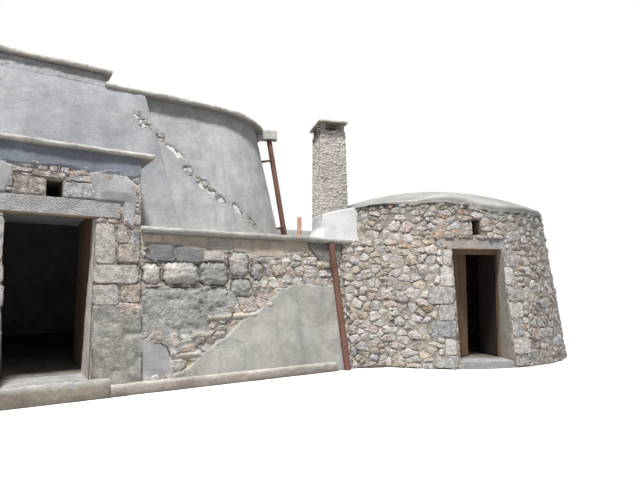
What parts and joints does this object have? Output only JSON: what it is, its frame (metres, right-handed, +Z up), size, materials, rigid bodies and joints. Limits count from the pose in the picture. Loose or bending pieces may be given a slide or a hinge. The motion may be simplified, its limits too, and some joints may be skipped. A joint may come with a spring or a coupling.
{
  "type": "trullo house",
  "caption": "Rendered trullo house with a vaulted room, a stone doorway porch, a walled terrace with a chimney, and a round rubble hut with a plank door.",
  "frame": {"origin": "on the ground under the middle of the main doorway, in the porch's front plane", "axes": "+X to the right along the front, +Y into the house, +Z up"},
  "size_m": [13.4999, 8.5998, 4.3],
  "materials": {
    "lime_render": "rough grey-white lime render with stains",
    "rubble_stone": "rough limestone rubble in lime mortar",
    "dressed_stone": "rough-dressed limestone blocks",
    "coping_stone": "weathered limestone slabs",
    "white_plaster": "limewashed plaster",
    "floor_stone": "worn limestone paving",
    "pipe_paint": "faded brown paint, satin",
    "clay_pipe": "fired clay",
    "old_boards": "weathered brown boards",
    "forged_iron": "dark forged iron"
  },
  "bodies": {
    "house": {"chimney_cap": "coping_stone", "chimney_haunch": "white_plaster", "chimney_posts": "dressed_stone", "chimney_shaft": "rubble_stone", "house_coping_left": "coping_stone", "house_coping_right": "coping_stone", "house_downpipe": "pipe_paint", "house_floor": "floor_stone", "house_front_gable": "lime_render", "house_front_left_pier": "lime_render", "house_front_right_pier": "lime_render", "house_left_flank": "lime_render", "house_rear_wall": "lime_render", "house_right_flank": "lime_render", "house_roof": "white_plaster", "house_vault": "lime_render", "hut_cap": "white_plaster", "hut_dome_left": "rubble_stone", "hut_dome_right": "rubble_stone", "hut_door_frame": "old_boards", "hut_door_pintles": "forged_iron", "hut_floor": "floor_stone", "hut_lintel_left": "dressed_stone", "hut_lintel_right": "dressed_stone", "hut_threshold": "dressed_stone", "hut_wall_left_of_door": "rubble_stone", "hut_wall_over_door": "rubble_stone", "hut_wall_rear_left": "rubble_stone", "hut_wall_rear_right": "rubble_stone", "hut_wall_right_of_door": "rubble_stone", "main_door_pintles": "forged_iron", "parapet": "lime_render", "parapet_coping": "coping_stone", "porch_coping": "coping_stone", "porch_left_pier": "rubble_stone", "porch_lintel": "dressed_stone", "porch_right_pier": "rubble_stone", "porch_upper_wall": "rubble_stone", "roof_spout": "white_plaster", "terrace_block": "rubble_stone", "terrace_coping": "coping_stone", "terrace_downpipe": "pipe_paint", "terrace_footing": "dressed_stone", "terrace_kerb": "white_plaster", "terrace_vent_pipe": "clay_pipe", "threshold": "dressed_stone"},
    "main_leaf": {"main_door_leaf": "old_boards"},
    "hut_left_leaf": {"hut_door_left_leaf": "old_boards"},
    "hut_right_leaf": {"hut_door_right_leaf": "old_boards"}
  },
  "joints": [
    {"name": "main_door_hinge", "type": "hinge", "parent": "house", "child": "main_leaf", "pos_m": [0.5, 0.557, 0], "axis": [0, 0, 1], "range_deg": [0, 90]},
    {"name": "hut_left_leaf_hinge", "type": "hinge", "parent": "house", "child": "hut_left_leaf", "pos_m": [5.37224, -0.48892, 0], "axis": [0, 0, 1], "range_deg": [-20, 64]},
    {"name": "hut_right_leaf_hinge", "type": "hinge", "parent": "house", "child": "hut_right_leaf", "pos_m": [6.19443, -0.85499, 0], "axis": [0, 0, 1], "range_deg": [0, 84]}
  ]
}
